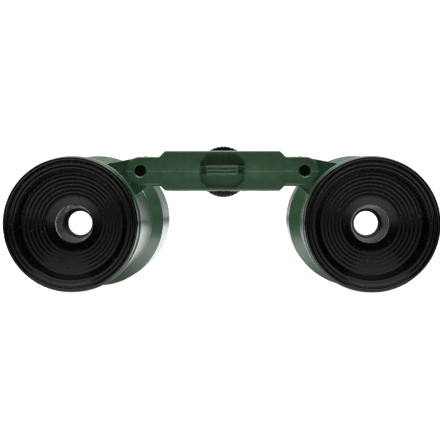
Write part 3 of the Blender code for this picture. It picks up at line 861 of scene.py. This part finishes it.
# %% Half-shells of the bridge
HALF_HEIGHT = size("bridge_upper_shell").z + 0.15
BRIDGE_FRONT = 17.0
BRIDGE_BACK = 52.0
EAR_RADIUS = 3.7
EAR_THICK = 3.0
SHOULDER_IN = 14.9
SHOULDER_OUT = 16.4
END_WALL = (15.0, 16.5)
WALL = 1.4
FRONT_WALL = 3.5
BACK_WALL = 2.5
SEAM = 0.03
EDGE_ROUND = 0.5
SEAM_ROUND = {1: 0.06, -1: 0.18}
SET_BACK = {1: 0.14, -1: 0.0}
DISH = (5.7, 4.35)
DISH_DEPTH = 1.2
DISH_SLOPE = 0.06
DISH_CORNER = 1.9
BOSSES = [(x, y) for y in (24.0, 35.0) for x in (-11.0, 11.0)]
WHEEL_RADIUS = size("focus_wheel").x / 2
WHEEL_MIDDLE = 34.5
WHEEL_WIDTH = 8.0
YOKE_MIDDLE = 46.0
EAR_HOLE = 1.45
EAR_COUNTERSINK = 1.85


def half_outline(up):
    right = arc(EAR_RADIUS, math.degrees(math.asin(SEAM / EAR_RADIUS)), 90, 24, (HINGE_X, 0.0))
    corners = right + [(SHOULDER_OUT, EAR_RADIUS, 0.5), (SHOULDER_IN, HALF_HEIGHT, 0.6)]
    corners += [(-p[0], p[1], *p[2:]) for p in reversed(corners)]
    return [(a, up * b) for a, b in rounded(corners)]


def dish_tool():
    """An eight-sided cutter whose walls slope in towards the dish's floor."""
    def eight(grow):
        a, b = DISH[0] + grow, DISH[1] + grow
        quarter = [(a, b - DISH_CORNER), (a - DISH_CORNER, b)]
        half = quarter + [(-p[0], p[1]) for p in reversed(quarter)]
        return rounded([(p[0], p[1], 0.6) for p in half] + [(-p[0], -p[1], 0.6) for p in half])
    before = 1.0
    return plate("dish", eight(before * DISH_SLOPE), BRIDGE_FRONT - before, BRIDGE_FRONT + DISH_DEPTH,
                 0.0, HINGE_Z, back_outline=eight(-DISH_DEPTH * DISH_SLOPE))


def ear_hole_tool(side):
    flare = EAR_COUNTERSINK - EAR_HOLE
    mouth = EAR_HOLE + flare + 1
    points = [(0, BRIDGE_FRONT - 1), (mouth, BRIDGE_FRONT - 1), (EAR_HOLE, BRIDGE_FRONT + flare),
              (EAR_HOLE, BRIDGE_BACK - flare), (mouth, BRIDGE_BACK + 1), (0, BRIDGE_BACK + 1)]
    return turned("ear_hole", points, side * HINGE_X, HINGE_Z, steps=64)


def bridge_tools():
    z = HINGE_Z
    inner = HALF_HEIGHT - WALL
    tools = [block("cavity", (-END_WALL[0], BRIDGE_FRONT + FRONT_WALL, z - inner),
                   (END_WALL[0], BRIDGE_BACK - BACK_WALL, z + inner)), dish_tool()]
    chord = math.sqrt(WHEEL_RADIUS ** 2 - inner ** 2) + 0.6
    gap = WHEEL_WIDTH / 2 + 0.8
    tools.append(block("window", (-chord, WHEEL_MIDDLE - gap, z - 9),
                       (chord, WHEEL_MIDDLE + gap, z + 9)))
    tools.append(turned("spindle_bore", [(0, 19.2), (1.8, 19.2), (1.8, 51.3), (0, 51.3)],
                        0.0, z, steps=48))
    for side in SIDES.values():
        low, high = sorted((side * END_WALL[1], side * (HINGE_X + 8)))
        tools.append(block("lug_space", (low, BRIDGE_FRONT + EAR_THICK, z - 8),
                           (high, BRIDGE_BACK - EAR_THICK, z + 8)))
        low, high = sorted((side * (END_WALL[0] - 2), side * (END_WALL[1] + 2)))
        tools.append(block("yoke_window", (low, YOKE_MIDDLE - 4.3, z - 1.9),
                           (high, YOKE_MIDDLE + 1.3, z + 1.9)))
        tools.append(ear_hole_tool(side))
    return tools


def uprights(radius, low, high, steps=32):
    """A rod along Z at each screw's place."""
    rods = []
    for x, y in BOSSES:
        shape = bmesh.new()
        bmesh.ops.create_cone(shape, cap_ends=True, segments=steps, radius1=radius * MM,
                              radius2=radius * MM, depth=abs(high - low) * MM)
        place = Vector((x, RIM_PLANE + y, HINGE_Z + (low + high) / 2)) * MM
        bmesh.ops.translate(shape, verts=shape.verts, vec=place)
        rods.append(keep_mesh("rod", shape))
    return rods


def half_shell(name, up):
    front = BRIDGE_FRONT + SET_BACK[up]
    shell = plate(name, half_outline(up), front, BRIDGE_BACK, 0.0, HINGE_Z)
    shape = bmesh.new()
    shape.from_mesh(shell.data)
    weights = shape.edges.layers.float.new("bevel_weight_edge")
    ends = [(RIM_PLANE + depth) * MM for depth in (front, BRIDGE_BACK)]
    seam_z = (HINGE_Z + up * SEAM) * MM
    for edge in shape.edges:
        at_seam = all(abs(v.co.z - seam_z) < 0.00001 for v in edge.verts)
        at_end = any(all(abs(v.co.y - y) < 0.00001 for v in edge.verts) for y in ends)
        if at_seam:
            edge[weights] = SEAM_ROUND[up] / EDGE_ROUND
        elif at_end:
            edge[weights] = 1.0
    shape.to_mesh(shell.data)
    shape.free()
    bevel = shell.modifiers.new("edges", "BEVEL")
    bevel.width = EDGE_ROUND * MM
    bevel.segments = 4
    bevel.limit_method = "WEIGHT"
    settle(shell)
    cut(shell, *bridge_tools())
    join(shell, *uprights(2.3, up * SEAM, up * (HALF_HEIGHT - WALL / 2)))
    if up > 0:
        cut(shell, *uprights(1.2, -1.0, 3.4))
    else:
        cut(shell, *uprights(1.2, -HALF_HEIGHT - 1, 1.0))
        cut(shell, *uprights(1.9, -HALF_HEIGHT - 1, -HALF_HEIGHT + 1.9))
    return shell


for name, up in (("upper", 1), ("lower", -1)):
    shell = half_shell(f"bridge_{name}_half", up)
    finish_piece(shell, f"bridge_{name}_shell", GREEN_PLASTIC, flat_faces=True)

# %% [markdown]
# ## Strap bar
#
# A low arch stands across the dish, and a neck strap would pass behind it. Its face has three
# fine ribs with two grooves between, and a pocket in each sloping leg.
# The arch is an outline in the (x, depth) plane given height along Z.

# %% Strap bar
BAR_HALF = 1.2
BAR_TOP = 14.0
BAR_FOOT = BRIDGE_FRONT - 0.1


def flat_arch(name, outline, low, high):
    """An (x, depth) outline given height along Z, about the bridge's middle height."""
    shape = bmesh.new()
    loops = []
    for height in (low, high):
        loops.append([shape.verts.new((a * MM, (RIM_PLANE + b) * MM, (HINGE_Z + height) * MM))
                      for a, b in outline])
    for loop in loops:
        shape.faces.new(loop)
    near, far = loops
    for i in range(len(near)):
        j = (i + 1) % len(near)
        shape.faces.new([near[i], near[j], far[j], far[i]])
    return keep_mesh(name, shape)


bar_corners = [(-5.9, BAR_FOOT), (-4.0, BAR_TOP, 0.3), (4.0, BAR_TOP, 0.3), (5.9, BAR_FOOT),
               (4.7, BAR_FOOT), (3.5, 15.4, 0.3), (-3.5, 15.4, 0.3), (-4.7, BAR_FOOT)]
bar = flat_arch("strap_bar", rounded(bar_corners), -BAR_HALF, BAR_HALF)
ease_edges(bar, 0.16, pieces=3, sharper_than=60.0)
GROOVES = ((0.26, 0.66), (-0.58, -0.06))
for low, high in GROOVES:
    cut(bar, block("groove", (-3.7, BAR_TOP - 0.5, HINGE_Z + low),
                   (3.7, BAR_TOP + 0.42, HINGE_Z + high)))
POCKET_HALF = 0.78
for hand in (-1, 1):
    slope = [(hand * 4.25, BAR_TOP - 0.6), (hand * 6.2, BAR_FOOT - 0.6), (hand * 6.2, BAR_FOOT - 0.2),
             (hand * 5.25, BAR_FOOT - 0.2), (hand * 4.05, BAR_TOP + 1.05)]
    cut(bar, flat_arch("pocket", slope, -POCKET_HALF, POCKET_HALF))
ease_edges(bar, 0.15, pieces=3, sharper_than=60.0)
finish_piece(bar, "strap_lug", GREEN_PLASTIC, flat_faces=True)

# %% [markdown]
# ## Screws and pins
#
# Four cross-head screws come up from below through the lower shell. Their cross is cut with two
# crossed blocks. The hinge pins are blackened steel: one shows a small centre mark from the
# lathe, the other is plain. Both sit a little below the ear's face, in a countersunk hole.

# %% Bridge screws
def screw_drawing():
    low = -HALF_HEIGHT + 0.2
    head = low + 1.4
    outline = [(0.0, 3.0), (0.9, 3.0, 0.2)]
    turns = 7
    pitch = (3.0 - head) / (turns + 1)
    for k in range(turns):
        z = 3.0 - pitch * (k + 0.6)
        outline += [(0.9, z), (0.68, z - pitch / 2)]
    outline += [(0.9, head + 0.15), (0.9, head), (1.6, head, 0.15), (1.6, low, 0.4), (0.0, low)]
    return rounded(outline, closed=False)


def upright_screw(name, x, y):
    shape = bmesh.new()
    steps = 48
    rings = []
    for radius, z in screw_drawing():
        count = 1 if radius < 0.001 else steps
        rings.append([shape.verts.new(((x + radius * math.cos(2 * math.pi * k / steps)) * MM,
                                       (RIM_PLANE + y + radius * math.sin(2 * math.pi * k / steps)) * MM,
                                       (HINGE_Z + z) * MM)) for k in range(count)])
    for near, far in zip(rings, rings[1:]):
        for k in range(steps):
            j = (k + 1) % steps
            corners = [near[k % len(near)], near[j % len(near)], far[j % len(far)], far[k % len(far)]]
            shape.faces.new(list(dict.fromkeys(corners)))
    screw = keep_mesh(name, shape)
    low = HINGE_Z - HALF_HEIGHT
    cross = [block("cross", (x - a, y - b, low - 0.2), (x + a, y + b, low + 0.85))
             for a, b in ((0.95, 0.17), (0.17, 0.95))]
    return cut(screw, *cross)


for number, (x, y) in enumerate(BOSSES, start=1):
    finish_piece(upright_screw(f"shell_screw_{number}", x, y), f"bridge_screw_{number}",
                 ZINC_STEEL)

# %% Hinge pins
PIN_FRONT = 17.8
PIN_BACK = 51.2
for side_name, side in SIDES.items():
    centre = [(0.0, PIN_FRONT + 0.35), (0.32, PIN_FRONT, 0.05)] if side < 0 else [(0.0, PIN_FRONT)]
    drawing = centre + [(PIN_RADIUS, PIN_FRONT, 0.25), (PIN_RADIUS, PIN_BACK, 0.25), (0.0, PIN_BACK)]
    pin = turned(side_name + "_pin", rounded(drawing, closed=False), side * HINGE_X, HINGE_Z, steps=64)
    finish_piece(pin, side_name + "_hinge_pin", BLACK_STEEL, flat_faces=True)

# %% [markdown]
# ## Focus wheel and spindle
#
# The wheel stands out of the bridge above and below, so a finger can turn it. Its rim is knurled
# with round ribs: `flute` takes a little off the radius between them, only on the rim.
# Both faces are hollowed to a web round a hub, as mouldings are, to keep the walls even. The
# spindle is a rod with a coarse screw thread behind the wheel, also made by a flute that depends
# on depth and angle together.

# %% Focus wheel and spindle
RIB_COUNT = 42
RIB_DEPTH = 0.12
KNURL_FROM = WHEEL_RADIUS - 1.0


def knurl(radius, depth, angle):
    share = max(0.0, min(1.0, (radius - KNURL_FROM) / 0.6))
    wave = 0.5 - 0.5 * math.cos(RIB_COUNT * angle)
    return radius - RIB_DEPTH * share * wave


wheel_front = WHEEL_MIDDLE - WHEEL_WIDTH / 2
wheel_back = WHEEL_MIDDLE + WHEEL_WIDTH / 2
wheel_drawing = rounded([
    (1.56, wheel_back, 0.15), (2.9, wheel_back, 0.3), (2.9, wheel_back - 1.6, 0.3),
    (5.3, wheel_back - 1.6, 0.3), (5.3, wheel_back, 0.25), (WHEEL_RADIUS, wheel_back, 0.5),
    (WHEEL_RADIUS, wheel_front, 0.5), (5.3, wheel_front, 0.25), (5.3, wheel_front + 1.6, 0.3),
    (2.9, wheel_front + 1.6, 0.3), (2.9, wheel_front, 0.3), (1.56, wheel_front, 0.15)])
wheel = turned("knurled_wheel", wheel_drawing, 0.0, HINGE_Z, steps=RIB_COUNT * 10, flute=knurl)
finish_piece(wheel, "focus_wheel", WHEEL_BLACK, flat_faces=True)

SPINDLE_RADIUS = 1.5
SPINDLE = (19.5, 51.0)
THREAD = (40.5, 49.4)
THREAD_PITCH = 1.4


def thread(radius, depth, angle):
    if radius < SPINDLE_RADIUS - 0.01 or not THREAD[0] < depth < THREAD[1]:
        return radius
    ease = min(1.0, (depth - THREAD[0]) / 0.5, (THREAD[1] - depth) / 0.5)
    phase = (depth / THREAD_PITCH - angle / (2 * math.pi)) % 1.0
    return radius - 0.3 * ease * (1 - abs(2 * phase - 1))


thread_rings = 90
spindle_drawing = [(0.0, SPINDLE[0]), (1.3, SPINDLE[0]), (SPINDLE_RADIUS, SPINDLE[0] + 0.2)]
spindle_drawing += [(SPINDLE_RADIUS, THREAD[0] + (THREAD[1] - THREAD[0]) * k / thread_rings)
                    for k in range(thread_rings + 1)]
spindle_drawing += [(SPINDLE_RADIUS, SPINDLE[1] - 0.2), (1.3, SPINDLE[1]), (0.0, SPINDLE[1])]
spindle = turned("threaded_spindle", spindle_drawing, 0.0, HINGE_Z, steps=48, flute=thread)
finish_piece(spindle, "focus_spindle", ZINC_STEEL, crease=50.0)

# %% [markdown]
# ## Yoke and focusing arms
#
# A nut on the thread carries a flat crossbar, the yoke, with an eye round each hinge pin. A
# forked arm holds each eye and reaches through the barrel's slot to the draw tube. The parts are
# pressed steel, blackened, so they are plates with lightly eased edges. They're drawn on the
# hinge axis, because there the yoke stays in reach however far the barrels are folded.

# %% Yoke and arms
YOKE_THICK = 1.6
YOKE_HALF = 1.5
EYE_RADIUS = 3.2
CHEEK = 1.3
ARM_HALF = 1.6
ARM_THICK = YOKE_THICK + 2 * (0.3 + CHEEK)

yoke_waist = math.degrees(math.asin(YOKE_HALF / EYE_RADIUS))
yoke_right = arc(EYE_RADIUS, 180 - yoke_waist, yoke_waist - 180, 40, (HINGE_X, 0.0))
yoke = plate("yoke", yoke_right + [(-a, -b) for a, b in yoke_right],
             YOKE_MIDDLE - YOKE_THICK / 2, YOKE_MIDDLE + YOKE_THICK / 2, 0.0, HINGE_Z)
ease_edges(yoke, 0.15, pieces=2)


def bore(x, radius):
    return turned("bore", [(0, 42), (radius, 42), (radius, 50), (0, 50)], x, HINGE_Z, steps=48)


cut(yoke, bore(-HINGE_X, PIN_BORE))
cut(yoke, bore(HINGE_X, PIN_BORE))
nut = turned("nut", rounded([(0, YOKE_MIDDLE - ARM_THICK / 2), (3.3, YOKE_MIDDLE - ARM_THICK / 2, 0.3),
                             (3.3, YOKE_MIDDLE + ARM_THICK / 2, 0.3), (0, YOKE_MIDDLE + ARM_THICK / 2)],
                            closed=False), 0.0, HINGE_Z, steps=64)
join(yoke, nut)
cut(yoke, bore(0.0, 1.8))
finish_piece(yoke, "focus_yoke", BLACK_STEEL, flat_faces=True)


def focus_arm(side_name):
    side = SIDES[side_name]
    lean = -math.degrees(ARM_ANGLE)
    waist = math.degrees(math.asin(ARM_HALF / EYE_RADIUS))
    outline = arc(EYE_RADIUS, lean + waist, lean + 360 - waist, 40)
    along = Vector((math.cos(ARM_ANGLE), -math.sin(ARM_ANGLE)))
    across = Vector((-along.y, along.x))
    reach = ARM_LENGTH - DRAW_RADIUS - 0.3
    outline += [tuple(along * reach + across * hand * ARM_HALF) for hand in (-1, 1)]
    half = ARM_THICK / 2
    arm = plate(side_name + "_arm", [(side * a, b) for a, b in outline], YOKE_MIDDLE - half,
                YOKE_MIDDLE + half, side * HINGE_X, HINGE_Z)
    ease_edges(arm, 0.15, pieces=2)
    inner = YOKE_THICK / 2 + 0.3
    fork = turned("fork", [(0, YOKE_MIDDLE - inner), (EYE_RADIUS + 0.3, YOKE_MIDDLE - inner),
                           (EYE_RADIUS + 0.3, YOKE_MIDDLE + inner), (0, YOKE_MIDDLE + inner)],
                  side * HINGE_X, HINGE_Z, steps=64)
    cut(arm, fork, bore(side * HINGE_X, PIN_BORE))
    finish_piece(arm, side_name + "_focus_arm", BLACK_STEEL, flat_faces=True)


for side_name in SIDES:
    focus_arm(side_name)
